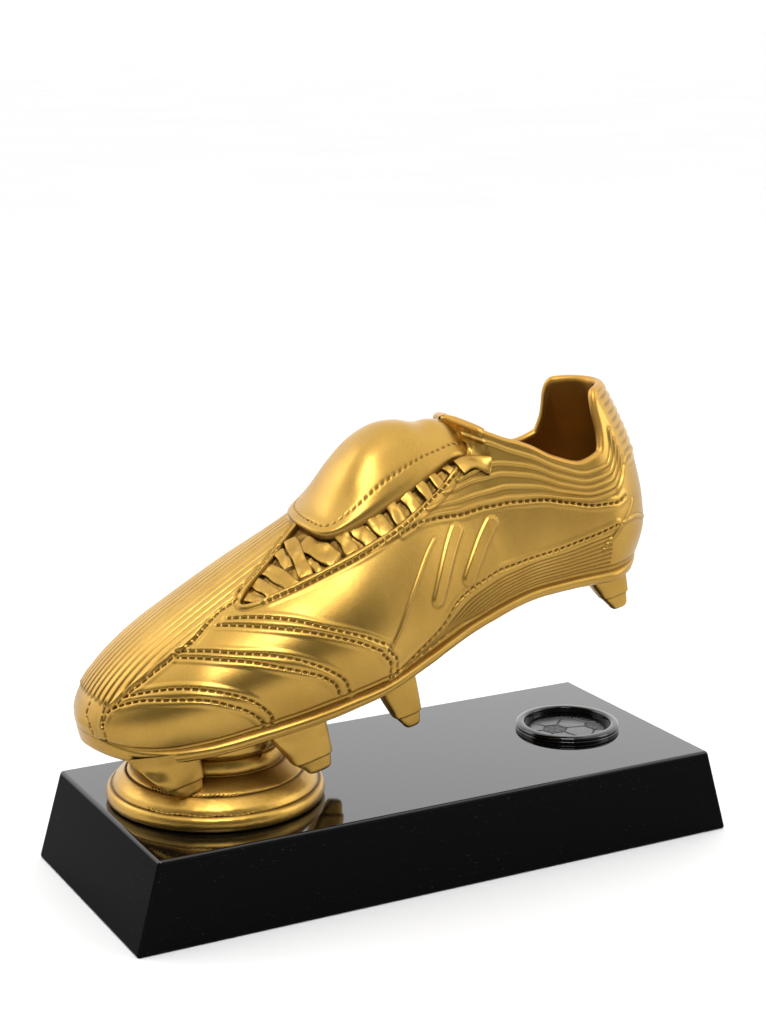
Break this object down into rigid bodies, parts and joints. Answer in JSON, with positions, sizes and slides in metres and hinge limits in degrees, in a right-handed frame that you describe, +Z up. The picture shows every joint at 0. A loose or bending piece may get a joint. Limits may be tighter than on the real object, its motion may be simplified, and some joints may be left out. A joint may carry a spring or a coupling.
{
  "type": "football boot trophy",
  "caption": "Golden football boot figure standing heel-up on a stepped round plinth, bolted to one end of a long gloss black base with a round emblem at the other end.",
  "frame": {"origin": "centre of the base's underside", "axes": "+X along the base from the toe end to the heel end of the boot, -Y out of the long side that faces the viewer (the boot's lateral side), +Z up"},
  "size_m": [0.18, 0.0734, 0.1284],
  "materials": {
    "gloss_black": "piano-gloss moulded plastic",
    "gold_paint": "satin gold metallic paint on cast resin",
    "black_relief": "satin moulded relief",
    "cast_weight": "raw plate",
    "fibre_cover": "matt",
    "felt": "pressed felt",
    "zinc_steel": "zinc plated",
    "brass": "turned"
  },
  "bodies": {
    "root": {"base_shell": "gloss_black", "base_weight": "cast_weight", "base_cover": "fibre_cover", "base_felt": "felt", "cover_screws": "zinc_steel", "emblem_ring": "gloss_black", "emblem_disc": "black_relief", "figure_plinth": "gold_paint", "bolt_washer": "zinc_steel", "figure_bolt": "zinc_steel", "threaded_insert": "brass", "boot_upper": "gold_paint", "boot_outsole": "gold_paint", "footbed": "gold_paint", "tongue_bed": "gold_paint", "lace_straps": "gold_paint", "tongue_flap": "gold_paint", "lace_tab": "gold_paint", "stud_front_lateral": "gold_paint", "stud_front_medial": "gold_paint", "stud_ball_lateral": "gold_paint", "stud_ball_medial": "gold_paint", "stud_waist_lateral": "gold_paint", "stud_waist_medial": "gold_paint", "stud_heel_lateral": "gold_paint", "stud_heel_medial": "gold_paint"}
  },
  "joints": []
}
